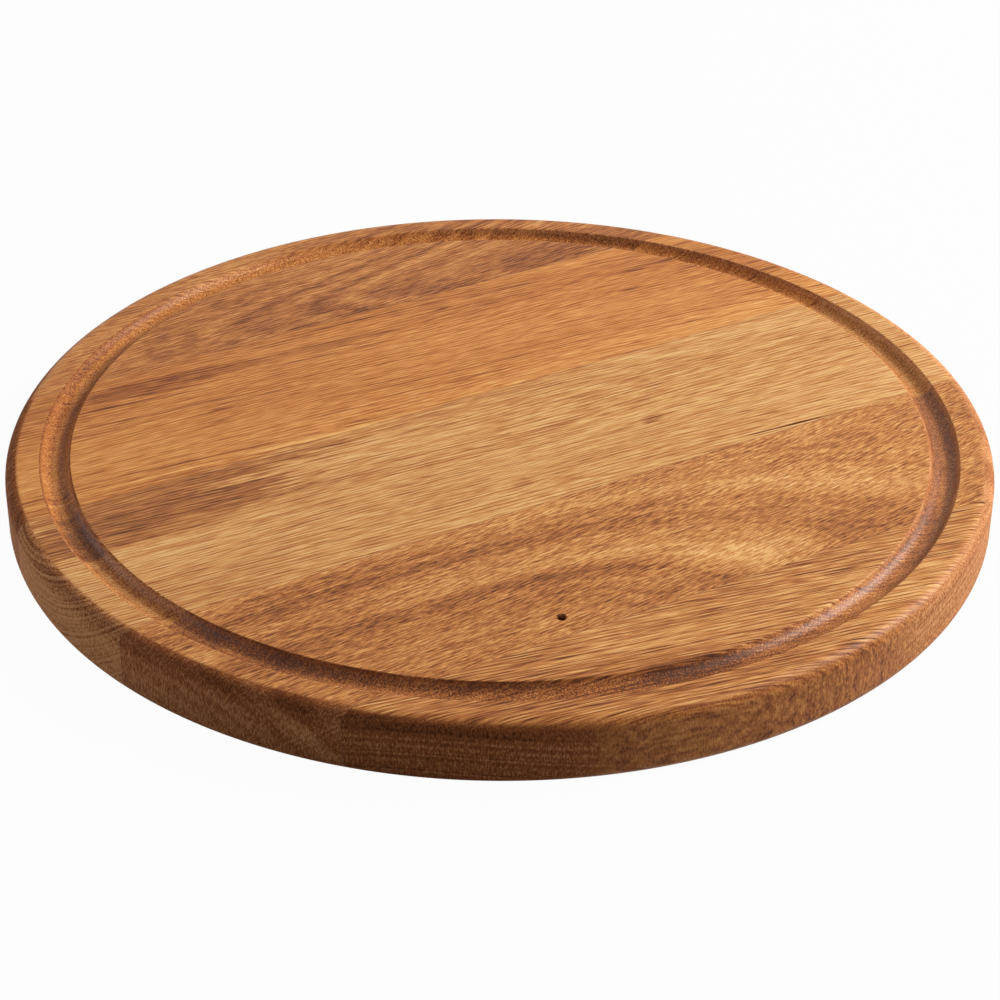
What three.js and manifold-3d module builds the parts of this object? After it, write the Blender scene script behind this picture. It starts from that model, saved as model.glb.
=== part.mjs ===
// Round oak steak board: five staves edge-glued into one blank, turned to a disc,
// rounded at both rims and grooved near the edge to catch meat juice.
// Millimetres, +Z up. The origin is the middle of the underside and +X runs along the grain.
import * as THREE from "three";
import { mergeVertices } from "three/addons/utils/BufferGeometryUtils.js";
import Module from "manifold-3d";

// Turned outline
const DIAMETER = 300;
const THICKNESS = 20;
const TOP_ROUND = 4.2; // radius worked on the upper edge
const BOTTOM_ROUND = 3.5; // radius worked on the lower edge

// Juice groove, a shallow cove left by a round-nosed cutter
const RIM_LAND = 10.6; // from the groove's outer lip to the board's edge
const GROOVE_WIDTH = 8.8;
const GROOVE_DEPTH = 3;

// Glue-up, across the grain. The two edge staves take what is left of the disc.
const CENTRE_STAVE_WIDTH = 64.7;
const CENTRE_STAVE_SHIFT = -9.95; // middle of the centre stave from the board's middle
const BACK_INNER_STAVE_WIDTH = 66.3;
const FRONT_INNER_STAVE_WIDTH = 61.9;
const GLUE_FILM = 0.15; // thickness of a cured glue line

// Pin knot: a small open hole in the top of the front inner stave
const PIN_KNOT_DIAMETER = 2;
const PIN_KNOT_DEPTH = 8;
const PIN_KNOT_ALONG = -35.4; // along the grain from the board's middle
const PIN_KNOT_FROM_JOINT = 8.5; // from the glue line in front of it

// Facets
const TURN_STEPS = 96; // round the disc
const ARC_STEPS = 3; // pairs of steps along each arc of the turned profile
const KNOT_SIDES = 12;

// How far a cutting solid stands out past what it cuts
const CUT_MARGIN = 5;
// Points of a sawn face closer than this to the saw plane are set exactly on it
const SAW_TOLERANCE = 0.001;

const OILED_OAK = { roughness: 0.5, metalness: 0 };
const CURED_GLUE = { color: "#8a5a2c", roughness: 0.45, metalness: 0 };

const wasm = await Module();
wasm.setup();

// A closed three.js geometry as a solid that can be joined and cut.
function solidFrom(geometry) {
  const bare = new THREE.BufferGeometry();
  bare.setAttribute("position", geometry.getAttribute("position"));
  bare.setIndex(geometry.index);
  const merged = mergeVertices(bare, SAW_TOLERANCE);
  const corners = merged.index.array;
  const kept = [];
  for (let i = 0; i < corners.length; i += 3) {
    const [a, b, c] = corners.subarray(i, i + 3);
    if (a !== b && b !== c && c !== a) kept.push(a, b, c);
  }
  return new wasm.Manifold(
    new wasm.Mesh({
      numProp: 3,
      vertProperties: merged.attributes.position.array,
      triVerts: new Uint32Array(kept),
    }),
  );
}

// The solid as a geometry whose sawn faces lie exactly on the planes y = front and y = back.
function geometryFrom(solid, front, back) {
  const mesh = solid.getMesh();
  const positions = new Float32Array(mesh.vertProperties);
  for (let i = 1; i < positions.length; i += 3) {
    if (Math.abs(positions[i] - front) < SAW_TOLERANCE) positions[i] = front;
    if (Math.abs(positions[i] - back) < SAW_TOLERANCE) positions[i] = back;
  }
  const geometry = new THREE.BufferGeometry();
  geometry.setAttribute("position", new THREE.BufferAttribute(positions, 3));
  geometry.setIndex(new THREE.BufferAttribute(new Uint32Array(mesh.triVerts), 1));
  geometry.computeVertexNormals();
  return geometry;
}

// Half section of the turned disc, from the middle of the underside round to the middle of the top.
function turnedProfile() {
  const radius = DIAMETER / 2;
  const halfGroove = GROOVE_WIDTH / 2;
  const grooveMiddle = radius - RIM_LAND - halfGroove;
  const cutterRadius = (halfGroove ** 2 + GROOVE_DEPTH ** 2) / (2 * GROOVE_DEPTH);
  const cutterHeight = THICKNESS - GROOVE_DEPTH + cutterRadius;
  const lipAngle = Math.atan2(THICKNESS - cutterHeight, halfGroove);

  const profile = new THREE.Path();
  profile.moveTo(0, 0);
  profile.lineTo(radius - BOTTOM_ROUND, 0);
  profile.absarc(radius - BOTTOM_ROUND, BOTTOM_ROUND, BOTTOM_ROUND, -Math.PI / 2, 0, false);
  profile.lineTo(radius, THICKNESS - TOP_ROUND);
  profile.absarc(radius - TOP_ROUND, THICKNESS - TOP_ROUND, TOP_ROUND, 0, Math.PI / 2, false);
  profile.lineTo(grooveMiddle + halfGroove, THICKNESS);
  profile.absarc(grooveMiddle, cutterHeight, cutterRadius, lipAngle, -Math.PI - lipAngle, true);
  profile.lineTo(0, THICKNESS);
  return profile.getPoints(ARC_STEPS);
}

// The whole glued-up disc after turning, still in one piece.
function turnedDisc() {
  const disc = new THREE.LatheGeometry(turnedProfile(), TURN_STEPS);
  disc.rotateX(Math.PI / 2);
  return solidFrom(disc);
}

// A slab that takes from the disc what lies between two saw planes across the grain.
function slab(front, back) {
  const reach = DIAMETER / 2 + CUT_MARGIN;
  const outline = new THREE.Shape([
    new THREE.Vector2(-reach, front),
    new THREE.Vector2(reach, front),
    new THREE.Vector2(reach, back),
    new THREE.Vector2(-reach, back),
  ]);
  const block = new THREE.ExtrudeGeometry(outline, {
    depth: THICKNESS + 2 * CUT_MARGIN,
    bevelEnabled: false,
  });
  block.translate(0, 0, -CUT_MARGIN);
  return solidFrom(block);
}

// The open pin knot, measured from the glue line in front of it.
function pinKnot(jointBehind) {
  const height = PIN_KNOT_DEPTH + CUT_MARGIN;
  const hole = new THREE.CylinderGeometry(
    PIN_KNOT_DIAMETER / 2,
    PIN_KNOT_DIAMETER / 2,
    height,
    KNOT_SIDES,
  );
  hole.rotateX(Math.PI / 2);
  hole.translate(
    PIN_KNOT_ALONG,
    jointBehind + PIN_KNOT_FROM_JOINT,
    THICKNESS - PIN_KNOT_DEPTH + height / 2,
  );
  return solidFrom(hole);
}

function piece(name, solid, front, back, look) {
  const mesh = new THREE.Mesh(
    geometryFrom(solid, front, back),
    new THREE.MeshStandardMaterial(look),
  );
  mesh.name = name;
  return mesh;
}

// Middles of the four glue lines, from the front of the board to the back.
const frontInnerJoint = CENTRE_STAVE_SHIFT - CENTRE_STAVE_WIDTH / 2;
const backInnerJoint = CENTRE_STAVE_SHIFT + CENTRE_STAVE_WIDTH / 2;
const joints = [
  { name: "front_edge_glue_line", at: frontInnerJoint - FRONT_INNER_STAVE_WIDTH },
  { name: "front_inner_glue_line", at: frontInnerJoint },
  { name: "back_inner_glue_line", at: backInnerJoint },
  { name: "back_edge_glue_line", at: backInnerJoint + BACK_INNER_STAVE_WIDTH },
];

const staves = [
  { name: "front_edge_stave", color: "#a86a35" },
  { name: "front_inner_stave", color: "#a4652f" },
  { name: "centre_stave", color: "#bf8646" },
  { name: "back_inner_stave", color: "#b4763a" },
  { name: "back_edge_stave", color: "#a66b38" },
];

const board = new THREE.Group();
const disc = turnedDisc();
const outside = DIAMETER / 2 + CUT_MARGIN;

staves.forEach((stave, i) => {
  const front = i === 0 ? -outside : joints[i - 1].at + GLUE_FILM / 2;
  const back = i === joints.length ? outside : joints[i].at - GLUE_FILM / 2;
  let wood = disc.intersect(slab(front, back));
  if (stave.name === "front_inner_stave") wood = wood.subtract(pinKnot(front));
  board.add(piece(stave.name, wood, front, back, { color: stave.color, ...OILED_OAK }));
});

joints.forEach((joint) => {
  const front = joint.at - GLUE_FILM / 2;
  const back = joint.at + GLUE_FILM / 2;
  board.add(piece(joint.name, disc.intersect(slab(front, back)), front, back, CURED_GLUE));
});

export default board;
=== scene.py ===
"""Round oak steak board with a juice groove, dressed for its portrait.

The board is built here as it was in the workshop: a disc turned from an edge-glued blank, with the
groove and the sanded lips in its profile, sawn back into its staves and glue lines along the joints.
Each stave then gets oiled oak with the figure that its own cut of the log shows. Lengths in the
dataclasses are millimetres, and Blender's are metres.
"""
import logging
import math
from dataclasses import dataclass, field
from enum import Enum
from typing import Mapping, Optional, Sequence, Union

import bmesh
import bpy
from mathutils import Matrix, Vector


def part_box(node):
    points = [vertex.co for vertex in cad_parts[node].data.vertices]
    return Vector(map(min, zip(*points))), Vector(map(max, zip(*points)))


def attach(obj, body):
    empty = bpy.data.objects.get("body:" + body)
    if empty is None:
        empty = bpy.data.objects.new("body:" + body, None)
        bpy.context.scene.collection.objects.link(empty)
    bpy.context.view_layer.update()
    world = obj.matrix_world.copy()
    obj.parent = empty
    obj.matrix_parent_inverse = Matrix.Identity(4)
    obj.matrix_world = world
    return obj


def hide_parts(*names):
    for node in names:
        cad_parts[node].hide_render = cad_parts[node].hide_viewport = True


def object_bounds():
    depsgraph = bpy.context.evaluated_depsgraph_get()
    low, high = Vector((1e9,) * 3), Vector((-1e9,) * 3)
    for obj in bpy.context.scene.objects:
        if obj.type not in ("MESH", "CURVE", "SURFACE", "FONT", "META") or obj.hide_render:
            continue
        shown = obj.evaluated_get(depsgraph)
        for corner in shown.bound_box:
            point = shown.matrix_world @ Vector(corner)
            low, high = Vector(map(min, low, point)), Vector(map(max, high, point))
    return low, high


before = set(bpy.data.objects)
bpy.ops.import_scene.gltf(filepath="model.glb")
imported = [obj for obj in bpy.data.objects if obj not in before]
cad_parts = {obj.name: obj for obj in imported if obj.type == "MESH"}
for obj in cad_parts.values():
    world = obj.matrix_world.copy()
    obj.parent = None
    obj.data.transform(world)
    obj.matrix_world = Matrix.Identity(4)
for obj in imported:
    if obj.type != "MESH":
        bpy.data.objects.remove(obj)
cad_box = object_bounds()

log = logging.getLogger("steak_board")

MM = 0.001
BODY = "root"
BAKE_MAP = "OFBake"

Point2 = tuple[float, float]
Point3 = tuple[float, float, float]
SocketValue = Union[bpy.types.Node, bpy.types.NodeSocket, float, tuple, None]
NodeInputs = Union[Sequence[SocketValue], Mapping[str, SocketValue]]


def linear(hex_colour: str) -> tuple[float, float, float, float]:
    """Turns an sRGB hex colour into linear RGBA.

    Args:
        hex_colour: Colour written as "#rrggbb".

    Returns:
        Linear red, green, blue and an alpha of one.
    """
    channels = [int(hex_colour[i:i + 2], 16) / 255 for i in (1, 3, 5)]
    red, green, blue = (c / 12.92 if c <= 0.04045 else ((c + 0.055) / 1.055) ** 2.4 for c in channels)
    return red, green, blue, 1.0


def add(tree: bpy.types.NodeTree, kind: str, inputs: NodeInputs = (), stops: Sequence = (),
        **settings: object) -> bpy.types.Node:
    """Adds one node with its settings and links.

    Args:
        tree: Node tree that takes the node.
        kind: Blender's type name of the node.
        inputs: Values or links, in socket order or by socket name. A node stands for its first
            enabled output, and None leaves a socket as it is.
        stops: Positions and RGBA colours of a colour ramp.
        **settings: Properties of the node.

    Returns:
        The new node.
    """
    node = tree.nodes.new(kind)
    for name, value in settings.items():
        setattr(node, name, value)
    pairs = inputs.items() if isinstance(inputs, Mapping) else enumerate(inputs)
    for key, value in pairs:
        if isinstance(value, bpy.types.Node):
            value = next(output for output in value.outputs if output.enabled)
        if isinstance(value, bpy.types.NodeSocket):
            tree.links.new(value, node.inputs[key])
        elif value is not None:
            node.inputs[key].default_value = value
    for index, (position, colour) in enumerate(stops):
        elements = node.color_ramp.elements
        element = elements[index] if index < 2 else elements.new(position)
        element.position = position
        element.color = colour
    return node


def fresh_material(name: str) -> tuple[bpy.types.Material, bpy.types.NodeTree]:
    """Makes a node material with nothing in its tree.

    Args:
        name: Name of the material.

    Returns:
        The material and its empty node tree.
    """
    material = bpy.data.materials.new(name)
    material.use_nodes = True
    material.node_tree.nodes.clear()
    return material, material.node_tree


class Cut(Enum):
    """How the growth rings meet the face of a stave."""

    OVAL = "closed arches, where the face was sawn through a swelling of the log"
    PEAKED = "open arches, one inside the other, as on a flat-sawn board"
    STRAIGHT = "lines along the grain, as on a rift-sawn board"


@dataclass(frozen=True)
class Stain:
    """A soft patch or streak of darker or paler tone on a stave's face, in millimetres: mostly the wood's
    own colour, and painted shade where it darkens a split or a knot hole.

    A negative tone darkens. The edge is the share of the patch over which it fades out.
    """

    x: float
    y: float
    half_length: float
    half_width: float
    tone: float
    turn: float = 0.0
    edge: float = 0.7


@dataclass(frozen=True)
class Grain:
    """Sockets that the patterns share.

    The first four are places in the log, in millimetres, and the next two are noise. The others are
    shares from nought to one: below the face, kept of the fine marks there, inside the groove, and
    on the wall of the groove that faces the middle of the board.
    """

    mm: bpy.types.NodeSocket
    u: bpy.types.NodeSocket
    fibre: bpy.types.NodeSocket
    radius: bpy.types.NodeSocket
    clouds: bpy.types.NodeSocket
    specks: bpy.types.NodeSocket
    below: bpy.types.NodeSocket
    kept: bpy.types.NodeSocket
    groove: bpy.types.NodeSocket
    outer_wall: bpy.types.NodeSocket


@dataclass(frozen=True)
class OiledOak:
    """Oak, sanded fine and rubbed with oil, with the figure of one stave.

    The oil leaves a satin sheen, deepens the brown and soaks far into the end grain, which turns
    nearly twice as dark. The eye sees broad bands where the rings run out through the face, thin
    dark veins and dashes of open pores along the fibres, and specks and pale rays on the end grain.
    Tones run from nought, the darkest brown, to one, the palest gold.
    """

    slot: str
    cut: Cut
    heart: Point2
    bands: tuple[Point2, ...]

    # Growth rings: angles in degrees, rises as slopes, lengths in millimetres.
    slant: float = 0.0
    rise_left: float = 0.0
    rise_right: float = 0.0
    hollow: float = 8.0
    lean: float = 0.6
    fibre_left: float = 0.0
    fibre_right: float = 0.0
    bend: float = 60.0
    stains: tuple[Stain, ...] = ()
    seed: float = 0.0
    tint: str = "#ffffff"

    # Patterns along the rings and fibres: contrast in tone, then length and width of the marks.
    wander: float = 4.0
    wander_size: Point2 = (110.0, 26.0)
    cloud: float = 0.06
    ring: float = 0.02
    ring_size: Point2 = (150.0, 2.0)
    streak: float = 0.03
    streak_size: Point2 = (60.0, 1.4)
    vein: float = 0.16
    vein_size: Point2 = (80.0, 4.5)
    vein_slant: float = -4.0
    fray: float = 1.5
    fray_size: Point2 = (14.0, 1.6)

    # Real rows of large pores are 0.3 mm wide, and the fine pores between them 0.05 mm. Both are too
    # fine to show in the render, so the rows are drawn twice as wide and the fine pores one pixel wide.
    hatch: float = 0.26
    pore_pitch: float = 1.35
    pore_size: Point2 = (22.0, 1.0)
    pore_sway: float = 1.1
    pore_depth: float = 0.07
    pore_dull: float = 0.15
    grit: float = 0.24
    grit_size: Point2 = (8.0, 0.32)

    # Groove and rim, below the sanded face: soaked with oil, fainter pore lines, more torn fibres.
    pores_below: float = 0.40
    specks_below: float = 0.15
    soak: float = 0.13
    soak_depth: float = 1.5
    groove_specks: float = 0.13
    groove_tone: float = 0.0
    # The groove's face tone is drawn this much darker where it cuts the end grain.
    groove_darkening: float = 0.16
    # Painted light: the groove's outer wall is drawn this much paler.
    outer_wall_painted_light: float = 0.0

    # End grain. Its pores, 0.3 mm across on real oak, are drawn coarser as well so that they show.
    end_heart: Point2 = (0.0, 60.0)
    end_facing: Point2 = (0.35, 0.50)
    end_tone: float = 0.45
    # Painted light: the end grain is drawn this much paler at the right-hand end, which faces the key lamp.
    end_painted_light: float = 0.14
    end_ring: float = 0.10
    end_ring_width: float = 1.2
    # Painted shade near the top of the rim: darkening on the left, on the right, and its depth below the
    # face.
    arris_shade: float = 0.22
    arris_shade_right: float = 0.06
    arris_depth: float = 8.0
    speck: float = 0.22
    speck_size: Point2 = (0.42, 1.2)
    speck_relief: float = 0.4
    ray: float = 0.12
    ray_size: Point2 = (6.0, 0.7)

    # Sheen of the oil
    ior: float = 1.47
    roughness: float = 0.44
    end_roughness: float = 0.70
    groove_roughness: float = 0.40
    shine: float = 0.18
    end_shine: float = 0.06
    groove_shine: float = 0.12

    TONES = ((0.0, "#4f2912"), (0.25, "#8c4e26"), (0.5, "#b8733b"), (0.75, "#d69554"), (1.0, "#ebbb79"))
    END_TONES = ((0.0, "#3a1b0c"), (0.5, "#965630"), (1.0, "#db9c68"))
    # Noise swings round one half, mostly between the values of SOFT and hardly by more than MID_SWING.
    SOFT = (0.36, 0.64)
    MID_SWING = 0.25
    NOISE_ROUGHNESS = 0.6
    # Marks and stains go deeper into the wood than they are wide by these factors.
    TALL = 6.0
    STAIN_DEPTH = 4.0
    # Shares and thresholds of the patterns
    GROOVE_END_CUT = 0.88
    PORE_SHARE = 0.36
    PORE_EDGE = (0.1, -0.7)
    PORE_BREAK = (0.34, 0.54)
    VEIN_EDGE = 0.025
    VEIN_BREAK = (0.42, 0.54)
    RAY_EDGE = (0.58, 0.70)
    RAGGED = 0.2
    RELIEF = 0.5
    # Span along the board over which painted light brightens the right-hand end grain and painted
    # shade near the top of the rim eases off, and how far below the face that painted shade starts
    PAINTED_SHADING_SPAN = (-40.0, 60.0)
    ARRIS_START = 1.0

    def material(self, blank: "TurnedBlank") -> bpy.types.Material:
        """Builds the node material.

        Args:
            blank: The turned disc, on whose face the figure is drawn.

        Returns:
            The material of this stave.
        """
        material, tree = fresh_material(f"oiled_oak_{self.slot}")
        top = blank.thickness
        grain = self.grain(tree, blank)
        pores = self.pore_lines(tree, grain)
        face = self.face_tone(tree, grain, pores, top)
        end, end_tone = self.end_grain(tree, grain, top)

        # The groove's face tone is drawn darker where it cuts the end grain, and its cut fibres keep a
        # deeper gold, not the dull brown of the rim. Painted light: the groove's outer wall is drawn paler,
        # as if lit.
        groove_end_grain = add(tree, "ShaderNodeMath", (end, grain.groove), operation="MULTIPLY")
        for place, change in ((groove_end_grain, -self.groove_darkening), (grain.groove, self.groove_tone),
                              (grain.outer_wall, self.outer_wall_painted_light)):
            face = add(tree, "ShaderNodeMath", (place, change, face), operation="MULTIPLY_ADD")
        end = add(tree, "ShaderNodeMath", (groove_end_grain, -self.GROOVE_END_CUT, end), operation="MULTIPLY_ADD")
        face = add(tree, "ShaderNodeValToRGB", (face,), stops=[(t, linear(c)) for t, c in self.TONES])
        face = add(tree, "ShaderNodeMix", {0: 1.0, 6: face, 7: linear(self.tint)}, data_type="RGBA",
                   blend_type="MULTIPLY")
        soaked = add(tree, "ShaderNodeValToRGB", (end_tone,),
                     stops=[(t, linear(c)) for t, c in self.END_TONES])
        colour = add(tree, "ShaderNodeMix", {0: end, 6: face, 7: soaked}, data_type="RGBA")
        rough = add(tree, "ShaderNodeMath", (pores, self.pore_dull, self.roughness),
                    operation="MULTIPLY_ADD")
        rough = add(tree, "ShaderNodeMix", {0: end, 2: rough, 3: self.end_roughness})
        rough = add(tree, "ShaderNodeMix", {0: grain.groove, 2: rough, 3: self.groove_roughness})
        shine = add(tree, "ShaderNodeMapRange", (end, 0.0, 1.0, self.shine, self.end_shine))
        shine = add(tree, "ShaderNodeMix", {0: grain.groove, 2: shine, 3: self.groove_shine})
        relief = add(tree, "ShaderNodeMath", (pores, -1.0), operation="MULTIPLY")
        specks = add(tree, "ShaderNodeMath", (grain.specks, self.speck_relief), operation="MULTIPLY")
        relief = add(tree, "ShaderNodeMix", {0: end, 2: relief, 3: specks})
        bump = add(tree, "ShaderNodeBump", {"Height": relief, "Strength": self.RELIEF,
                   "Distance": self.pore_depth * MM})
        shader = add(tree, "ShaderNodeBsdfPrincipled", {"Base Color": colour, "Roughness": rough,
                     "IOR": self.ior, "Specular IOR Level": shine, "Normal": bump})
        add(tree, "ShaderNodeOutputMaterial", (shader,))
        return material

    @classmethod
    def drawn_out(cls, tree: bpy.types.NodeTree, place: SocketValue, size: Point2,
                  detail: float) -> bpy.types.NodeSocket:
        """Draws a random pattern out along the fibres.

        Args:
            tree: Node tree of the material.
            place: Coordinates along and across the fibres, in millimetres.
            size: Length and width of the marks, in millimetres.
            detail: Number of finer patterns on top of the first.

        Returns:
            The pattern, which swings round one half.
        """
        length, width = size
        scale = (1 / length, 1 / width, 1 / (cls.TALL * width))
        scaled = add(tree, "ShaderNodeVectorMath", (place, scale), operation="MULTIPLY")
        return add(tree, "ShaderNodeTexNoise", {"Vector": scaled, "Scale": 1.0, "Detail": detail,
                   "Roughness": cls.NOISE_ROUGHNESS}).outputs["Fac"]

    def grain(self, tree: bpy.types.NodeTree, blank: "TurnedBlank") -> Grain:
        """Works out where in the log each point of the stave lies.

        Args:
            tree: Node tree of the material.
            blank: The turned disc, on whose face the figure is drawn.

        Returns:
            The coordinates that the patterns are drawn in.
        """
        top = blank.thickness
        land = blank.radius - blank.rim_land
        turn = math.radians(self.slant)
        along, across = (math.cos(turn), math.sin(turn), 0), (-math.sin(turn), math.cos(turn), 0)
        place = add(tree, "ShaderNodeTexCoord").outputs["Object"]
        mm = add(tree, "ShaderNodeVectorMath", (place, (1 / MM,) * 3), operation="MULTIPLY").outputs[0]
        local = add(tree, "ShaderNodeVectorMath", (mm, (*self.heart, top)), operation="SUBTRACT")
        u = add(tree, "ShaderNodeVectorMath", (local, along), operation="DOT_PRODUCT").outputs["Value"]
        v = add(tree, "ShaderNodeVectorMath", (local, across), operation="DOT_PRODUCT").outputs["Value"]
        z = add(tree, "ShaderNodeSeparateXYZ", (local,)).outputs["Z"]
        seeded = add(tree, "ShaderNodeCombineXYZ", (u, v, z))
        seeded = add(tree, "ShaderNodeVectorMath", (seeded, (self.seed,) * 3), operation="ADD")
        clouds = self.drawn_out(tree, seeded, self.wander_size, detail=0.5)
        shift = add(tree, "ShaderNodeMath", (clouds, 0.5), operation="SUBTRACT")
        shift = add(tree, "ShaderNodeMath", (shift, self.wander / self.MID_SWING),
                    operation="MULTIPLY").outputs[0]
        v = add(tree, "ShaderNodeMath", (v, shift), operation="ADD")

        # The rings rise or fall along the log, and differently on either side of the heart.
        right = add(tree, "ShaderNodeMath", (u, 0.0, self.bend), operation="SMOOTH_MAX")
        left = add(tree, "ShaderNodeMath", (u, 0.0, self.bend), operation="SMOOTH_MIN")
        rise = add(tree, "ShaderNodeMath", (right, self.rise_right), operation="MULTIPLY")
        rise = add(tree, "ShaderNodeMath", (left, self.rise_left, rise), operation="MULTIPLY_ADD")
        sunk = add(tree, "ShaderNodeMath", (z, self.lean), operation="MULTIPLY")
        if self.cut is Cut.OVAL:
            depth = add(tree, "ShaderNodeMath", (rise, sunk), operation="ADD")
            spoke = add(tree, "ShaderNodeCombineXYZ", (v, depth, 0.0))
            radius = add(tree, "ShaderNodeVectorMath", (spoke,), operation="LENGTH").outputs["Value"]
        elif self.cut is Cut.PEAKED:
            depth = add(tree, "ShaderNodeMath", (self.hollow, sunk), operation="SUBTRACT")
            spoke = add(tree, "ShaderNodeCombineXYZ", (v, depth, 0.0))
            spoke = add(tree, "ShaderNodeVectorMath", (spoke,), operation="LENGTH").outputs["Value"]
            radius = add(tree, "ShaderNodeMath", (spoke, rise), operation="ADD").outputs[0]
        else:
            radius = add(tree, "ShaderNodeMath", (v, sunk), operation="ADD").outputs[0]

        # The fibres turn aside with the swelling of the log.
        swerve = add(tree, "ShaderNodeMath", (right, -math.tan(math.radians(self.fibre_right)), v),
                     operation="MULTIPLY_ADD")
        swerve = add(tree, "ShaderNodeMath", (left, -math.tan(math.radians(self.fibre_left)), swerve),
                     operation="MULTIPLY_ADD")
        fibre = add(tree, "ShaderNodeCombineXYZ", (u, swerve, z))
        fibre = add(tree, "ShaderNodeVectorMath", (fibre, (self.seed,) * 3), operation="ADD").outputs[0]
        wide, tall = self.speck_size
        specks = add(tree, "ShaderNodeVectorMath", (mm, (1 / wide, 1 / wide, 1 / tall)),
                     operation="MULTIPLY")
        specks = add(tree, "ShaderNodeTexNoise", {"Vector": specks, "Scale": 1.0, "Detail": 2.0,
                     "Roughness": self.NOISE_ROUGHNESS}).outputs["Fac"]
        height = add(tree, "ShaderNodeSeparateXYZ", (mm,)).outputs["Z"]

        # How far a point lies below the face, and whether that is in the groove or on the rim.
        below = add(tree, "ShaderNodeMapRange",
                    (height, top, top - self.soak_depth, 0.0, 1.0)).outputs["Result"]
        kept = add(tree, "ShaderNodeMapRange", (below, 0.0, 1.0, 1.0, self.pores_below)).outputs["Result"]
        plan = add(tree, "ShaderNodeVectorMath", (mm, (1.0, 1.0, 0.0)), operation="MULTIPLY")
        plan = add(tree, "ShaderNodeVectorMath", (plan,), operation="LENGTH").outputs["Value"]
        inside = add(tree, "ShaderNodeMath", (plan, land + self.soak_depth), operation="LESS_THAN")
        groove = add(tree, "ShaderNodeMath", (below, inside), operation="MULTIPLY").outputs[0]
        outer = add(tree, "ShaderNodeMapRange", (plan, land - blank.groove_width / 2, land, 0.0, 1.0))
        outer = add(tree, "ShaderNodeMath", (outer, groove), operation="MULTIPLY").outputs[0]
        return Grain(mm, u, fibre, radius, clouds, specks, below, kept, groove, outer)

    def pore_lines(self, tree: bpy.types.NodeTree, grain: Grain) -> bpy.types.NodeSocket:
        """Draws the open pores: fine dark lines along the fibres, which sway a little and break off.

        Args:
            tree: Node tree of the material.
            grain: Where each point lies in the log.

        Returns:
            One in the pores and nought on the wood between them.
        """
        length, width = self.pore_size
        sway = self.drawn_out(tree, grain.fibre, (2 * length, width), detail=1.0)
        sway = add(tree, "ShaderNodeMath", (sway, self.pore_sway), operation="MULTIPLY")
        across = add(tree, "ShaderNodeSeparateXYZ", (grain.fibre,)).outputs["Y"]
        across = add(tree, "ShaderNodeMath", (across, sway), operation="ADD")
        across = add(tree, "ShaderNodeMath", (across, 2 * math.pi / self.pore_pitch), operation="MULTIPLY")
        lines = add(tree, "ShaderNodeMath", (across,), operation="SINE")
        lines = add(tree, "ShaderNodeMapRange", (lines, *self.PORE_EDGE, 0.0, 1.0))
        # The breaks come from another stretch of the noise than the sway.
        apart = add(tree, "ShaderNodeVectorMath", (grain.fibre, (3 * self.seed,) * 3), operation="ADD")
        broken = self.drawn_out(tree, apart, (length, width), detail=1.0)
        broken = add(tree, "ShaderNodeMapRange", (broken, *self.PORE_BREAK, 0.0, 1.0))
        pores = add(tree, "ShaderNodeMath", (lines, broken), operation="MULTIPLY")
        return add(tree, "ShaderNodeMath", (pores, grain.kept), operation="MULTIPLY").outputs[0]

    def face_tone(self, tree: bpy.types.NodeTree, grain: Grain, pores: bpy.types.NodeSocket,
                  top: float) -> bpy.types.Node:
        """Draws the figure of the face: bands, rings, streaks, hatching, veins and stains.

        Args:
            tree: Node tree of the material.
            grain: Where each point lies in the log.
            pores: One in the open pores, nought on the wood between them.
            top: Height of the board's face in millimetres.

        Returns:
            The tone of the wood on its face.
        """
        first, last = self.bands[0][0], self.bands[-1][0]
        share = add(tree, "ShaderNodeMapRange", (grain.radius, first, last, 0.0, 1.0))
        tone = add(tree, "ShaderNodeValToRGB", (share,),
                   stops=[((d - first) / (last - first), (t, t, t, 1.0)) for d, t in self.bands])
        ring_at = add(tree, "ShaderNodeCombineXYZ", (grain.u, grain.radius, self.seed))
        patterns = (
            (grain.clouds, self.cloud),
            (self.drawn_out(tree, ring_at, self.ring_size, detail=3.0), self.ring),
            (self.drawn_out(tree, grain.fibre, self.streak_size, detail=3.0), self.streak),
            (self.drawn_out(tree, grain.fibre, self.grit_size, detail=2.0), self.grit),
        )
        for pattern, contrast in patterns:
            swing = add(tree, "ShaderNodeMapRange", (pattern, *self.SOFT, -contrast, contrast))
            tone = add(tree, "ShaderNodeMath", (swing, grain.kept, tone), operation="MULTIPLY_ADD")
        soaked = add(tree, "ShaderNodeMapRange", (grain.specks, *self.SOFT, -self.soak - self.specks_below,
                     -self.soak + self.specks_below))
        tone = add(tree, "ShaderNodeMath", (grain.below, soaked, tone), operation="MULTIPLY_ADD")
        torn = add(tree, "ShaderNodeMapRange", (grain.specks, *self.SOFT, -self.groove_specks,
                   self.groove_specks))
        tone = add(tree, "ShaderNodeMath", (grain.groove, torn, tone), operation="MULTIPLY_ADD")
        tone = add(tree, "ShaderNodeMath", (pores, -self.hatch, tone), operation="MULTIPLY_ADD")
        tone = add(tree, "ShaderNodeMath", (tone, self.PORE_SHARE * self.hatch), operation="ADD")

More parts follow.
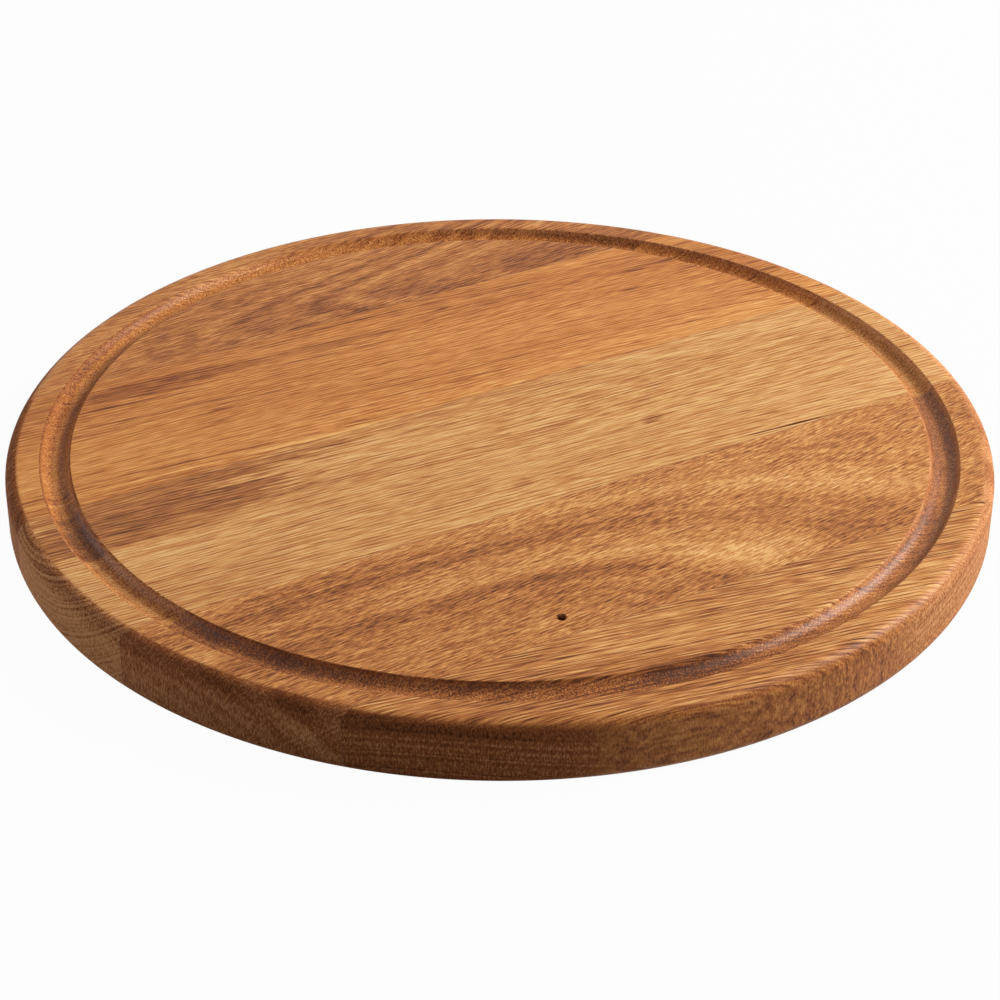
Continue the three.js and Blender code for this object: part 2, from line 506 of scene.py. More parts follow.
        # Veins: long thin dark lines, broken here and there, where a row of large pores was cut open.
        vein_at = add(tree, "ShaderNodeVectorRotate", {"Vector": grain.fibre,
                      "Angle": -math.radians(self.vein_slant)}, rotation_type="Z_AXIS")
        ridge = self.drawn_out(tree, vein_at, self.vein_size, detail=1.0)
        ridge = add(tree, "ShaderNodeMath", (ridge, 0.5), operation="SUBTRACT")
        ridge = add(tree, "ShaderNodeMath", (ridge,), operation="ABSOLUTE")
        line = add(tree, "ShaderNodeMapRange", (ridge, 0.0, self.VEIN_EDGE, -self.vein, 0.0))
        length, width = self.vein_size
        broken = self.drawn_out(tree, vein_at, (length / 3, width / 2), detail=0.0)
        broken = add(tree, "ShaderNodeMapRange", (broken, *self.VEIN_BREAK, 0.0, 1.0))
        tone = add(tree, "ShaderNodeMath", (line, broken, tone), operation="MULTIPLY_ADD")

        # Patches of heartwood and mineral colour, and painted shade along the split and in the knot hole,
        # with edges frayed along the fibres.
        fray = self.drawn_out(tree, grain.fibre, self.fray_size, detail=2.0)
        fray = add(tree, "ShaderNodeMath", (fray, 0.5), operation="SUBTRACT")
        fray = add(tree, "ShaderNodeCombineXYZ", (fray, 0.0, 0.0))
        for stain in self.stains:
            at = add(tree, "ShaderNodeMapping",
                     (grain.mm, (stain.x, stain.y, top), (0.0, 0.0, math.radians(stain.turn)),
                      (stain.half_length, stain.half_width, self.STAIN_DEPTH * stain.half_width)),
                     vector_type="TEXTURE")
            at = add(tree, "ShaderNodeVectorMath", (fray, (self.fray, 0.0, 0.0), at),
                     operation="MULTIPLY_ADD")
            reach = add(tree, "ShaderNodeVectorMath", (at,), operation="LENGTH").outputs["Value"]
            patch = add(tree, "ShaderNodeMapRange", (reach, 1.0, 1.0 - stain.edge, 0.0, stain.tone),
                        interpolation_type="SMOOTHSTEP")
            tone = add(tree, "ShaderNodeMath", (tone, patch), operation="ADD")
        return tone

    def end_grain(self, tree: bpy.types.NodeTree, grain: Grain,
                  top: float) -> tuple[bpy.types.NodeSocket, bpy.types.Node]:
        """Draws the end grain, wherever the surface cuts across the fibres.

        Args:
            tree: Node tree of the material.
            grain: Where each point lies in the log.
            top: Height of the board's face in millimetres.

        Returns:
            The share of end grain and its tone.
        """
        normal = add(tree, "ShaderNodeNewGeometry").outputs["Normal"]
        facing = add(tree, "ShaderNodeSeparateXYZ", (normal,)).outputs["X"]
        facing = add(tree, "ShaderNodeMath", (facing,), operation="ABSOLUTE")
        ragged = add(tree, "ShaderNodeMath", (grain.specks, self.RAGGED, facing), operation="MULTIPLY_ADD")
        share = add(tree, "ShaderNodeMapRange", (ragged, *self.end_facing, 0.0, 1.0),
                    interpolation_type="SMOOTHSTEP").outputs["Result"]

        # Rings round the heart of the log, and rays across them.
        heart_y, heart_z = self.end_heart
        spoke = add(tree, "ShaderNodeVectorMath", (grain.mm, (0.0, heart_y, top + heart_z)),
                    operation="SUBTRACT")
        spoke = add(tree, "ShaderNodeVectorMath", (spoke, (0.0, 1.0, 1.0)), operation="MULTIPLY")
        radius = add(tree, "ShaderNodeVectorMath", (spoke,), operation="LENGTH").outputs["Value"]
        rings = add(tree, "ShaderNodeTexNoise",
                    {"W": radius, "Scale": 1 / self.end_ring_width, "Detail": 2.0},
                    noise_dimensions="1D").outputs["Fac"]
        parts = add(tree, "ShaderNodeSeparateXYZ", (spoke,))
        angle = add(tree, "ShaderNodeMath", (parts.outputs["Y"], parts.outputs["Z"]), operation="ARCTAN2")
        arc = add(tree, "ShaderNodeMath", (angle, math.hypot(heart_y, heart_z)), operation="MULTIPLY")
        ray_at = add(tree, "ShaderNodeCombineXYZ", (radius, arc, self.seed))
        rays = self.drawn_out(tree, ray_at, self.ray_size, detail=1.0)
        tone = add(tree, "ShaderNodeMapRange",
                   (rays, *self.RAY_EDGE, self.end_tone, self.end_tone + self.ray))
        # Specks and rings are the wood's own; the rise in tone towards the right-hand end is painted light.
        for pattern, limits, low, high in ((grain.specks, self.SOFT, -self.speck, self.speck),
                                           (rings, self.SOFT, -self.end_ring, self.end_ring),
                                           (grain.u, self.PAINTED_SHADING_SPAN, 0.0, self.end_painted_light)):
            swing = add(tree, "ShaderNodeMapRange", (pattern, *limits, low, high))
            tone = add(tree, "ShaderNodeMath", (tone, swing), operation="ADD")

        # Painted shade: the end grain is drawn darker towards the top of the rim,
        # on the shaded left more than on the lit right.
        height = add(tree, "ShaderNodeSeparateXYZ", (grain.mm,)).outputs["Z"]
        edge = add(tree, "ShaderNodeMapRange",
                   (height, top - self.arris_depth, top - self.ARRIS_START, 0.0, 1.0),
                   interpolation_type="SMOOTHSTEP")
        swing = add(tree, "ShaderNodeMapRange", (grain.u, *self.PAINTED_SHADING_SPAN, -self.arris_shade, -self.arris_shade_right))
        tone = add(tree, "ShaderNodeMath", (edge, swing, tone), operation="MULTIPLY_ADD")
        return share, tone


@dataclass(frozen=True)
class CuredGlue:
    """Wood glue, squeezed out, planed off and oiled over with the staves.

    It dries to a thin amber line, a little darker and smoother than the wood beside it.
    """

    slot: str = "glue"
    pale: str = "#85502a"
    dark: str = "#653716"
    mottle: float = 6.0
    ior: float = 1.47
    roughness: float = 0.42
    roughness_spread: float = 0.08
    shine: float = 0.4

    CLOUDED = (0.3, 0.7)

    def material(self) -> bpy.types.Material:
        """Builds the node material of the glue lines.

        Returns:
            The material.
        """
        material, tree = fresh_material("cured_wood_glue")
        place = add(tree, "ShaderNodeTexCoord").outputs["Object"]
        cloud = add(tree, "ShaderNodeTexNoise", {"Vector": place, "Scale": 1 / (self.mottle * MM),
                    "Detail": 2.0})
        cloud = cloud.outputs["Fac"]
        shades = (linear(self.dark), linear(self.pale))
        colour = add(tree, "ShaderNodeValToRGB", (cloud,), stops=list(zip(self.CLOUDED, shades)))
        rough = add(tree, "ShaderNodeMapRange",
                    (cloud, *self.CLOUDED, self.roughness + self.roughness_spread, self.roughness))
        shader = add(tree, "ShaderNodeBsdfPrincipled", {"Base Color": colour, "Roughness": rough,
                     "IOR": self.ior, "Specular IOR Level": self.shine})
        add(tree, "ShaderNodeOutputMaterial", (shader,))
        return material


STAVE_FINISHES: dict[str, OiledOak] = {
    "back_edge_stave": OiledOak(
        slot="oak_back_edge", cut=Cut.PEAKED, heart=(0.0, 99.0), rise_left=-0.22, rise_right=-0.22,
        hollow=13.0, seed=11.0, fibre_right=6.0, fibre_left=2.0, wander=2.0, vein=0.08, hatch=0.17,
        pore_size=(9.0, 1.0), grit_size=(5.0, 0.34), end_tone=0.64, groove_tone=0.08,
        bands=((-12, 0.37), (-4, 0.33), (2, 0.34), (4.9, 0.49), (7.0, 0.39), (9.5, 0.33), (11.5, 0.37),
               (13.2, 0.54), (14.2, 0.43), (15.8, 0.26), (17.0, 0.36), (18.5, 0.49), (20.0, 0.39),
               (21.4, 0.29), (23.0, 0.39), (24.4, 0.53), (25.6, 0.40), (27.5, 0.47), (29.5, 0.36),
               (32.0, 0.47), (35.0, 0.39), (38.0, 0.50), (42.0, 0.48), (48.0, 0.53)),
        stains=(Stain(71.5, 124.0, 42.0, 4.5, 0.10, -30.0, 0.8),)),
    "back_inner_stave": OiledOak(
        slot="oak_back_inner", cut=Cut.STRAIGHT, heart=(0.0, 55.0), slant=-2.0, seed=23.0, vein=0.34,
        vein_size=(150.0, 4.0), vein_slant=-3.0, wander=2.0, tint="#fff8ea", hatch=0.20, grit=0.21,
        end_tone=0.62, end_facing=(0.16, 0.34), groove_tone=0.06, outer_wall_painted_light=0.16,
        bands=((-40, 0.60), (-33.5, 0.62), (-32.5, 0.86), (-31.2, 0.62), (-22, 0.68), (-14, 0.61),
               (-7, 0.56), (5, 0.55), (15, 0.54), (20, 0.46), (24, 0.57), (30, 0.52), (34, 0.60),
               (40, 0.5)),
        stains=(Stain(-78.0, 78.0, 44.0, 7.0, -0.16, -2.0), Stain(-15.0, 74.0, 24.0, 3.5, -0.10, -3.0),
                Stain(78.0, 70.0, 50.0, 9.0, 0.09, 0.0, 1.0))),
    "centre_stave": OiledOak(
        slot="oak_centre", cut=Cut.PEAKED, heart=(10.0, 4.0), slant=-2.5, rise_right=0.25, seed=37.0,
        wander=2.0, tint="#f8fcff", cloud=0.04, end_heart=(15.0, 60.0), end_ring=0.17, end_ring_width=0.9,
        end_tone=0.85, end_facing=(0.16, 0.34), speck=0.26, outer_wall_painted_light=0.16,
        bands=((8, 0.68), (10, 0.66), (12, 0.73), (15, 0.62), (17, 0.73), (20, 0.63), (23, 0.74),
               (27, 0.65), (31, 0.74), (36, 0.66), (42, 0.74), (50, 0.68), (60, 0.73)),
        stains=(Stain(-118.0, 6.0, 56.0, 10.5, -0.32, -1.0, 0.25),
                Stain(-102.0, 18.5, 62.0, 4.5, -0.26, -1.0, 0.35),
                Stain(-62.0, -1.0, 42.0, 4.5, -0.13, -6.0), Stain(20.0, -6.5, 75.0, 6.0, -0.08, 0.0, 0.8),
                # The last streak on the next line is painted shade along the drying split.
                Stain(45.0, -17.0, 6.0, 3.0, -0.34), Stain(80.0, -40.6, 24.0, 0.8, -0.5, -4.2))),
    "front_inner_stave": OiledOak(
        slot="oak_front_inner", cut=Cut.OVAL, heart=(-60.0, -103.0), rise_right=0.385, rise_left=0.06,
        seed=53.0, fibre_left=3.0, fibre_right=7.0, wander=2.0, ring=0.07, ring_size=(160.0, 1.4),
        vein=0.08, hatch=0.14, pore_size=(6.0, 1.0), pore_pitch=1.25, grit=0.31, grit_size=(3.0, 0.28),
        end_heart=(-50.0, -60.0), end_tone=0.62, end_facing=(0.16, 0.34), end_ring_width=5.0, ray=0.24,
        ray_size=(9.0, 0.5), groove_tone=-0.05, groove_shine=0.24, outer_wall_painted_light=0.06,
        bands=((0, 0.54), (14, 0.51), (20, 0.41), (24, 0.47), (27, 0.33), (30, 0.32), (33, 0.57),
               (36, 0.61), (40, 0.57), (43, 0.50), (46, 0.40), (49, 0.37), (51, 0.50), (52.3, 0.41),
               (53.5, 0.52), (55.5, 0.45), (57, 0.58), (60, 0.60), (64, 0.54), (67, 0.46), (70, 0.54),
               (75, 0.46), (80, 0.53), (95, 0.51)),
        stains=(Stain(-4.0, -99.0, 9.0, 4.0, -0.12), Stain(-38.0, -96.0, 12.0, 2.5, 0.16, 4.0),
                # The first patch on the next line is painted shade in and round the pin-knot hole.
                Stain(-35.4, -95.6, 2.0, 1.8, -0.70, 0.0, 0.4), Stain(-98.0, -67.0, 40.0, 7.0, -0.14),
                Stain(24.0, -93.0, 33.0, 10.0, 0.14, -12.0, 0.5))),
    "front_edge_stave": OiledOak(
        slot="oak_front_edge", cut=Cut.STRAIGHT, heart=(0.0, -120.0), slant=-10.0, seed=71.0, ring=0.07,
        ring_size=(200.0, 1.8), wander=1.2, vein_slant=0.0, streak_size=(70.0, 1.3), streak=0.05,
        hatch=0.28, pore_size=(24.0, 1.0), grit=0.38, grit_size=(11.0, 0.32), end_heart=(-120.0, -70.0),
        end_tone=0.50, end_painted_light=0.26, groove_tone=-0.10, groove_shine=0.24,
        bands=((-40, 0.45), (-12, 0.47), (-6, 0.49), (-2, 0.63), (2, 0.59), (5, 0.45), (9, 0.59),
               (12, 0.47), (30, 0.5)),
        stains=(Stain(-15.0, -131.5, 24.0, 4.5, -0.26, -8.0),
                Stain(-68.0, -108.0, 40.0, 7.0, -0.12, -10.0))),
}


@dataclass
class TurnedBlank:
    """The glued-up disc after turning, measured in millimetres as on a drawing."""

    diameter: float
    thickness: float
    top_round: float = 4.2
    bottom_round: float = 3.5
    rim_land: float = 10.6
    groove_width: float = 8.8
    groove_depth: float = 3.0
    lip_round: float = 0.5
    flat_margin: float = 0.4
    turn_steps: int = 288
    round_steps: int = 10
    groove_steps: int = 18
    lip_steps: int = 4

    @property
    def radius(self) -> float:
        """Radius of the finished disc."""
        return self.diameter / 2

    @staticmethod
    def arc(centre: Point2, radius: float, start: float, end: float, steps: int) -> list[Point2]:
        """Points of an arc in the turned section.

        Args:
            centre: Distance from the axis and height of the arc's centre.
            radius: Radius of the arc.
            start: First angle in radians.
            end: Last angle in radians.
            steps: Number of straight steps along the arc.

        Returns:
            The points from start to end, both included.
        """
        angles = [start + (end - start) * i / steps for i in range(steps + 1)]
        return [(centre[0] + radius * math.cos(a), centre[1] + radius * math.sin(a)) for a in angles]

    def profile(self) -> list[Point2]:
        """Half section from the underside, round the rim and through the groove, to the field.

        Returns:
            Distances from the axis and heights, in millimetres.
        """
        half = self.groove_width / 2
        middle = self.radius - self.rim_land - half
        cutter = (half ** 2 + self.groove_depth ** 2) / (2 * self.groove_depth)
        cutter_height = self.thickness - self.groove_depth + cutter
        lip_height = self.thickness - self.lip_round
        drop = lip_height - cutter_height
        lip_out = math.sqrt((cutter + self.lip_round) ** 2 - drop ** 2)
        lip_angle = math.atan2(drop, lip_out)
        quarter = math.pi / 2

        points = [(self.radius - self.bottom_round - self.flat_margin, 0.0)]
        points += self.arc((self.radius - self.bottom_round, self.bottom_round), self.bottom_round,
                           -quarter, 0.0, self.round_steps)
        shoulder = self.thickness - self.top_round
        points += self.arc((self.radius - self.top_round, shoulder), self.top_round, 0.0, quarter,
                           self.round_steps)
        points.append((self.radius - self.top_round - self.flat_margin, self.thickness))
        points.append((middle + lip_out + self.flat_margin, self.thickness))
        points += self.arc((middle + lip_out, lip_height), self.lip_round, quarter, math.pi + lip_angle,
                           self.lip_steps)
        points += self.arc((middle, cutter_height), cutter, lip_angle, -math.pi - lip_angle,
                           self.groove_steps)[1:-1]
        points += self.arc((middle - lip_out, lip_height), self.lip_round, -lip_angle, quarter,
                           self.lip_steps)
        points.append((middle - lip_out - self.flat_margin, self.thickness))
        return points

    def turned(self) -> bmesh.types.BMesh:
        """Turns the profile into a closed disc.

        Returns:
            The disc, in metres.
        """
        angles = [2 * math.pi * step / self.turn_steps for step in range(self.turn_steps)]
        return solid_of_rings([[(distance * math.cos(a), distance * math.sin(a), height) for a in angles]
                               for distance, height in self.profile()])


@dataclass(frozen=True)
class PinKnot:
    """A fallen-out pin knot: a small ragged hole that narrows as it goes down, in millimetres."""

    x: float
    y: float
    section: tuple[Point2, ...] = ((-0.5, 1.75), (0.0, 1.6), (0.6, 1.3), (6.0, 0.9), (8.0, 0.4))
    unevenness: float = 0.07
    lobes: int = 3
    sides: int = 20

    def cutter(self, top: float) -> bpy.types.Mesh:
        """Makes the solid that is taken away.

        Args:
            top: Height of the board's face in millimetres.

        Returns:
            A closed mesh in metres.
        """
        rings = []
        for depth, radius in self.section:
            ring = []
            for side in range(self.sides):
                angle = 2 * math.pi * side / self.sides
                reach = radius * (1 + self.unevenness * math.sin(self.lobes * angle + depth))
                ring.append((self.x + reach * math.cos(angle), self.y + reach * math.sin(angle),
                             top - depth))
            rings.append(ring)
        return closed_mesh(solid_of_rings(rings), "pin_knot_cutter")


@dataclass(frozen=True)
class Split:
    """A drying split along the grain: a narrow wedge, widest past its middle, in millimetres."""

    start: Point2
    end: Point2
    half_width: float = 0.42
    depth: float = 1.2
    overshoot: float = 0.4
    widths: tuple[float, ...] = (0.06, 0.25, 0.35, 0.3, 0.55, 0.8, 1.0, 0.85, 0.5, 0.08)

    @property
    def x(self) -> float:
        """Middle of the split along the grain."""
        return (self.start[0] + self.end[0]) / 2

    @property
    def y(self) -> float:
        """Middle of the split across the grain."""
        return (self.start[1] + self.end[1]) / 2

    def cutter(self, top: float) -> bpy.types.Mesh:
        """Makes the solid that is taken away.

        Args:
            top: Height of the board's face in millimetres.

        Returns:
            A closed mesh in metres.
        """
        sections = []
        for index, width in enumerate(self.widths):
            share = index / (len(self.widths) - 1)
            x = self.start[0] + (self.end[0] - self.start[0]) * share
            y = self.start[1] + (self.end[1] - self.start[1]) * share
            half = self.half_width * width
            flare = half * (1 + self.overshoot / self.depth)
            sections.append([(x, y - flare, top + self.overshoot), (x, y + flare, top + self.overshoot),
                             (x, y, top - self.depth * width)])
        return closed_mesh(solid_of_rings(sections), "split_cutter")


def solid_of_rings(rings: Sequence[Sequence[Point3]]) -> bmesh.types.BMesh:
    """Closes a row of rings, all of as many corners, into a solid with flat ends.

    Args:
        rings: Corners of each ring in millimetres.

    Returns:
        The solid, in metres.
    """
    shape = bmesh.new()
    loops = [[shape.verts.new(Vector(corner) * MM) for corner in ring] for ring in rings]
    for first, second in zip(loops, loops[1:]):
        for i in range(len(first)):
            j = (i + 1) % len(first)
            shape.faces.new((first[i], first[j], second[j], second[i]))
    shape.faces.new(list(reversed(loops[0])))
    shape.faces.new(loops[-1])
    return shape


def closed_mesh(shape: bmesh.types.BMesh, name: str) -> bpy.types.Mesh:
    """Turns a closed bmesh into a mesh whose normals all point outwards.

    Args:
        shape: The bmesh, which is used up.
        name: Name of the mesh.

    Returns:
        The new mesh.
    """
    bmesh.ops.recalc_face_normals(shape, faces=shape.faces[:])
    mesh = bpy.data.meshes.new(name)
    shape.to_mesh(mesh)
    shape.free()
    return mesh


@dataclass
class BakeSheet:
    """Shares one square map out among a sawn piece's face, underside, rim and sawn sides."""

    front: float
    back: float
    radius: float
    thickness: float
    pocket: Point2 = (0.0, 0.0)
    margin: float = 0.005
    face_rows: Point2 = (0.585, 0.995)
    under_rows: Point2 = (0.165, 0.575)
    rim_rows: Point2 = (0.045, 0.155)
    side_rows: Point2 = (0.005, 0.035)
    side_columns: float = 0.94
    pocket_columns: Point2 = (0.955, 0.99)
    upright: float = 0.35
    steep: float = 0.6
    square: float = 0.999
    on_plane: float = 0.01
    rim_band: float = 5.0
    edge_gap: float = 1.0

    def lay_out(self, mesh: bpy.types.Mesh) -> None:
        """Writes the map's coordinates for every corner of a mesh.

        Args:
            mesh: Mesh of the sawn piece.
        """
        layer = mesh.uv_layers.new(name=BAKE_MAP)
        for polygon in mesh.polygons:
            for corner in polygon.loop_indices:
                point = mesh.vertices[mesh.loops[corner].vertex_index].co / MM
                layer.data[corner].uv = self.spot(point, polygon.normal, polygon.center / MM)

    def spot(self, point: Vector, normal: Vector, middle: Vector) -> Point2:
        """Place on the map of one corner.

        Args:
            point: The corner, in millimetres.
            normal: Normal of its polygon.
            middle: Centre of its polygon, in millimetres.

        Returns:
            The two coordinates on the map.
        """
        lengthwise = (point.x + self.radius) / (2 * self.radius)
        across = (point.y - self.front) / (self.back - self.front)
        height = point.z / self.thickness
        inside = math.hypot(middle.x, middle.y) < self.radius - self.rim_band
        from_saw = min(abs(middle.y - self.front), abs(middle.y - self.back))
        if abs(normal.y) > self.square and from_saw < self.on_plane:
            half = 0 if middle.y < (self.front + self.back) / 2 else 1
            return self.fit(self.side_columns * (half + lengthwise) / 2, height, self.side_rows)
        if inside and abs(normal.z) < self.upright:
            low, high = self.pocket_columns
            return self.fit(low + (high - low) * self.round_pocket(point, middle), height, self.side_rows)
        if normal.z > self.steep or (inside and middle.z > self.thickness / 2):
            return self.fit(lengthwise, across, self.face_rows)
        if normal.z < -self.steep:
            return self.fit(lengthwise, across, self.under_rows)
        return self.fit(self.round_rim(point, middle), height, self.rim_rows)

    def round_pocket(self, point: Vector, middle: Vector) -> float:
        """Share of the way round the pocket's axis, kept on its polygon's side of the seam.

        Args:
            point: The corner, in millimetres.
            middle: Centre of its polygon, in millimetres.

        Returns:
            The share, from nought to one.
        """
        angles = [math.atan2(p.y - self.pocket[1], p.x - self.pocket[0]) for p in (point, middle)]
        if abs(angles[0] - angles[1]) > math.pi:
            angles[0] += math.copysign(2 * math.pi, angles[1])
        return 0.5 + angles[0] / (2 * math.pi)

    def round_rim(self, point: Vector, middle: Vector) -> float:
        """Share of the map's width at which a point of the rim lies, the left end before the right.

        Args:
            point: The corner, in millimetres.
            middle: Centre of its polygon, in millimetres.

        Returns:
            The share, from nought to one.
        """
        if self.front > self.edge_gap - self.radius and self.back < self.radius - self.edge_gap:
            across = (point.y - self.front) / (self.back - self.front)
            return across / 2 if middle.x < 0 else 0.5 + across / 2
        side = math.copysign(1, self.front + self.back)
        return math.atan2(point.y * side, point.x) / math.pi

    def fit(self, u: float, v: float, rows: Point2) -> Point2:
        """Scales shares of one region to its place on the map."""
        wide = 1 - 2 * self.margin
        return self.margin + wide * u, rows[0] + (rows[1] - rows[0]) * v


Flaw = Union[PinKnot, Split]


@dataclass
class Board:
    """The steak board: its staves and glue lines, sawn from the turned blank along the CAD's joints."""

    blank: TurnedBlank
    staves: dict[str, OiledOak] = field(default_factory=lambda: dict(STAVE_FINISHES))
    flaws: dict[str, Flaw] = field(default_factory=lambda: {
        "front_inner_stave": PinKnot(-35.4, -95.6),
        "centre_stave": Split((61.0, -39.2), (96.0, -41.8)),
    })
    glue: CuredGlue = CuredGlue()
    smooth_angle: float = 35.0
    edge_tolerance: float = 0.001
    weld: float = 1e-7

    def build(self) -> list[bpy.types.Object]:
        """Builds, dresses and mounts every piece.

        Returns:
            The finished pieces.
        """
        disc = self.blank.turned()
        glue_material = self.glue.material()
        pieces = []
        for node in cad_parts:
            front, back = (corner.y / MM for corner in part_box(node))
            if node in self.staves:
                finish = self.staves[node]
                piece = self.sawn(disc, f"turned_{node}", front, back, self.flaws.get(node))
                piece.data.materials.append(finish.material(self.blank))
                self.mount(piece, node, finish.slot)
            else:
                piece = self.sawn(disc, f"cured_{node}", front, back)
                piece.data.materials.append(glue_material)
                self.mount(piece, node, self.glue.slot)
            log.info("built %s, %.2f mm across the grain, %d faces", piece.name, back - front,
                     len(piece.data.polygons))
            pieces.append(piece)
        disc.free()
        return pieces

    def sawn(self, disc: bmesh.types.BMesh, name: str, front: float, back: float,
             flaw: Optional[Flaw] = None) -> bpy.types.Object:
        """Takes from the disc what lies between two planes across the grain.

        Args:
            disc: The turned disc.
            name: Name of the new piece.
            front: Lower limit along Y, in millimetres.
            back: Upper limit along Y, in millimetres.
            flaw: Natural hole or split in the piece's face, if it has one.

        Returns:
            The piece, closed along its sawn faces.
        """
        part = disc.copy()
        for limit, direction in ((front, -1), (back, 1)):
            if abs(limit) > self.blank.radius - self.edge_tolerance:
                continue
            everything = part.verts[:] + part.edges[:] + part.faces[:]
            bmesh.ops.bisect_plane(part, geom=everything, dist=self.weld, plane_co=(0, limit * MM, 0),
                                   plane_no=(0, direction, 0), clear_outer=True)
            bmesh.ops.edgeloop_fill(part, edges=[edge for edge in part.edges if edge.is_boundary])
        piece = bpy.data.objects.new(name, closed_mesh(part, name))
        bpy.context.scene.collection.objects.link(piece)
        sheet = BakeSheet(front, back, self.blank.radius, self.blank.thickness)
        if flaw:
            self.take_away(piece, flaw.cutter(self.blank.thickness))
            sheet.pocket = (flaw.x, flaw.y)
        mesh = piece.data
        mesh.polygons.foreach_set("use_smooth", [True] * len(mesh.polygons))
        mesh.set_sharp_from_angle(angle=math.radians(self.smooth_angle))
        sheet.lay_out(mesh)
        return piece

    @staticmethod
    def take_away(piece: bpy.types.Object, cutter_mesh: bpy.types.Mesh) -> None:
        """Cuts a solid out of a piece.

        Args:
            piece: The piece that is cut.
            cutter_mesh: The closed solid to take away, which is used up.
        """
        cutter = bpy.data.objects.new("cutter", cutter_mesh)
        bpy.context.scene.collection.objects.link(cutter)
        cut = piece.modifiers.new("flaw", "BOOLEAN")
        cut.operation = "DIFFERENCE"
        cut.solver = "EXACT"
        cut.object = cutter
        whole = piece.data
        evaluated = piece.evaluated_get(bpy.context.evaluated_depsgraph_get())
        piece.data = bpy.data.meshes.new_from_object(evaluated)
        piece.modifiers.clear()
        bpy.data.objects.remove(cutter)
        bpy.data.meshes.remove(cutter_mesh)
        bpy.data.meshes.remove(whole)

    @staticmethod
    def mount(piece: bpy.types.Object, node: str, slot: str) -> None:
        """Lets a piece stand for its CAD node and ride with the board.

        Args:
            piece: The finished piece.
            node: Name of the CAD node that it replaces.
            slot: Name of its material slot; not used.
        """
        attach(piece, BODY)
        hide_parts(node)


@dataclass(frozen=True)
class Softbox:
    """A rectangular studio lamp: place and aim in metres, power in watts."""

    name: str
    place: Point3
    aim: Point3
    size: Point2
    power: float
    colour: str = "#ffffff"


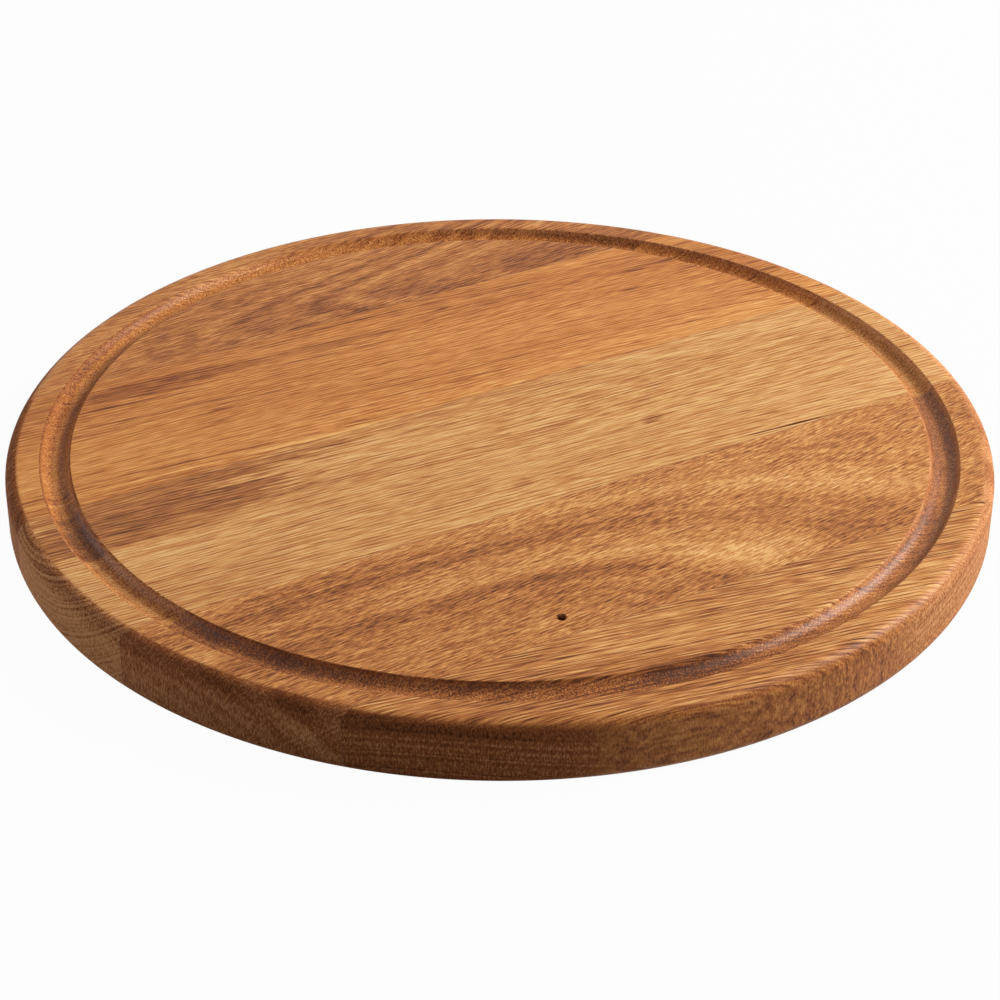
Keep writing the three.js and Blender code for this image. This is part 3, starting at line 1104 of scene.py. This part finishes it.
@dataclass
class Studio:
    """Pale floor, soft lamps and the camera at the photograph's angle."""

    azimuth: float = -30.0
    elevation: float = 32.0
    roll: float = 0.31
    distance: float = 808.9
    aim: Point3 = (-11.9, -20.8, 10.0)
    lens: float = 96.9
    sensor: float = 36.0
    floor_size: float = 12.0
    floor_colour: str = "#b4b4b2"
    floor_glow: float = 0.97
    fill: float = 0.14
    lamps: tuple[Softbox, ...] = (
        Softbox("key_softbox", (1.37, -0.405, 1.02), (0.0, 0.0, 0.0), (0.94, 0.94), 45.0),
        Softbox("left_reflector", (-1.06, 0.96, 0.45), (0.0, 0.0, 0.0), (0.9, 0.6), 6.0, "#eef3ff"),
    )

    def build(self) -> None:
        """Sets up the whole studio."""
        self.build_world()
        self.build_floor()
        for lamp in self.lamps:
            self.build_lamp(lamp)
        self.build_camera()
        bpy.context.scene.view_settings.view_transform = "Standard"

    @staticmethod
    def seen_directly(tree: bpy.types.NodeTree) -> bpy.types.Node:
        """Tells rays that see a surface or mirror it from those that light the board.

        Args:
            tree: Node tree of the floor or the surround.

        Returns:
            One for camera, glossy and transmission rays, and nought for the others.
        """
        path = add(tree, "ShaderNodeLightPath")
        seen = add(tree, "ShaderNodeMath", (path.outputs["Is Camera Ray"], path.outputs["Is Glossy Ray"]),
                   operation="MAXIMUM")
        return add(tree, "ShaderNodeMath", (seen, path.outputs["Is Transmission Ray"]), operation="MAXIMUM")

    def build_world(self) -> None:
        """Makes a white surround that lights the board softly from all sides."""
        world = bpy.data.worlds.new("white_surround")
        world.use_nodes = True
        tree = world.node_tree
        tree.nodes.clear()
        soft = add(tree, "ShaderNodeBackground", {"Color": linear("#ffffff"), "Strength": self.fill})
        white = add(tree, "ShaderNodeBackground", {"Color": linear("#ffffff"), "Strength": 1.0})
        surround = add(tree, "ShaderNodeMixShader", (self.seen_directly(tree), soft, white))
        add(tree, "ShaderNodeOutputWorld", (surround,))
        bpy.context.scene.world = world

    def build_floor(self) -> None:
        """Lays a pale floor that stays white to the eye and keeps the board's shadow."""
        material, tree = fresh_material("pale_studio_floor")
        matt = add(tree, "ShaderNodeBsdfDiffuse", {"Color": linear(self.floor_colour)})
        white = add(tree, "ShaderNodeEmission", {"Color": linear("#ffffff"), "Strength": 1.0})
        glow = add(tree, "ShaderNodeMath", (self.seen_directly(tree), self.floor_glow),
                   operation="MULTIPLY")
        add(tree, "ShaderNodeOutputMaterial", (add(tree, "ShaderNodeMixShader", (glow, matt, white)),))
        half = self.floor_size / 2
        mesh = bpy.data.meshes.new("floor")
        mesh.from_pydata([(-half, -half, 0), (half, -half, 0), (half, half, 0), (-half, half, 0)], [],
                         [(0, 1, 2, 3)])
        mesh.materials.append(material)
        floor = bpy.data.objects.new("floor", mesh)
        bpy.context.scene.collection.objects.link(floor)

    @staticmethod
    def build_lamp(lamp: Softbox) -> None:
        """Hangs one softbox and turns it to its aim.

        Args:
            lamp: The softbox to hang.
        """
        data = bpy.data.lights.new(lamp.name, "AREA")
        data.shape = "RECTANGLE"
        data.size, data.size_y = lamp.size
        data.energy = lamp.power
        data.color = linear(lamp.colour)[:3]
        light = bpy.data.objects.new(lamp.name, data)
        light.location = lamp.place
        light.rotation_euler = (Vector(lamp.aim) - Vector(lamp.place)).to_track_quat("-Z", "Y").to_euler()
        bpy.context.scene.collection.objects.link(light)

    def build_camera(self) -> None:
        """Sets the camera where the photograph was taken from."""
        turn, tilt = math.radians(self.azimuth), math.radians(self.elevation)
        back = Vector((math.sin(turn) * math.cos(tilt), -math.cos(turn) * math.cos(tilt), math.sin(tilt)))
        data = bpy.data.cameras.new("camera")
        data.sensor_width = self.sensor
        data.lens = self.lens
        camera = bpy.data.objects.new("camera", data)
        facing = (-back).to_track_quat("-Z", "Y").to_matrix()
        facing = facing @ Matrix.Rotation(math.radians(self.roll), 3, "Z")
        camera.matrix_world = (Matrix.Translation((Vector(self.aim) + back * self.distance) * MM)
                               @ facing.to_4x4())
        bpy.context.scene.collection.objects.link(camera)
        bpy.context.scene.camera = camera


def main() -> None:
    """Builds the board and the studio."""
    logging.basicConfig(level=logging.INFO, format="%(name)s: %(message)s")
    low, high = cad_box
    blank = TurnedBlank(diameter=(high.x - low.x) / MM, thickness=(high.z - low.z) / MM)
    Board(blank).build()
    Studio().build()


if __name__ == "__main__":
    main()
